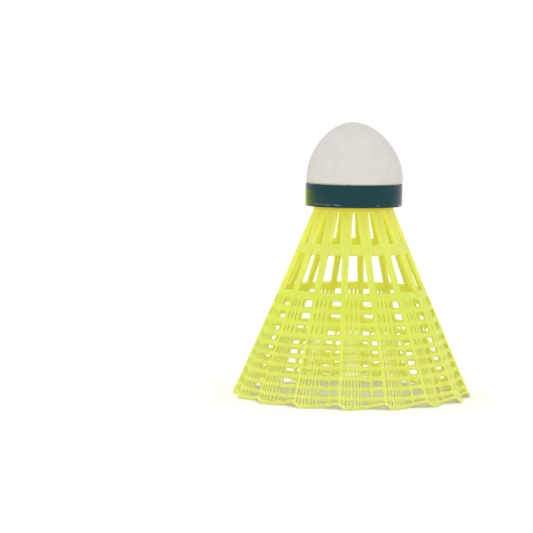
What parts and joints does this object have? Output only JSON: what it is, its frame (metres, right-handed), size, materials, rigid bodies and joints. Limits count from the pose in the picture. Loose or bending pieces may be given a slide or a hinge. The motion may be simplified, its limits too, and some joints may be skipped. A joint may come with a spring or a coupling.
{
  "type": "badminton shuttlecock",
  "caption": "Nylon badminton shuttlecock: fluted moulded skirt with open stems, window rows and scalloped hem, under a domed cork head with a white cover and green band.",
  "frame": {"origin": "on the shuttlecock's axis, in the plane that the feet of its hem stand on", "axes": "+Z along the axis, from the skirt's mouth to the nose of the head; +X through the middle of one of the sixteen stems"},
  "size_m": [0.0662, 0.0662, 0.0761],
  "materials": {
    "nylon": "satin",
    "cork": "matte",
    "steel": "satin",
    "cover": "matte",
    "band": "gloss"
  },
  "bodies": {
    "root": {"skirt": "nylon", "cork_base": "cork", "cork_crown": "cork", "ballast_pin": "steel", "head_cover": "cover", "colour_band": "band"}
  },
  "joints": []
}
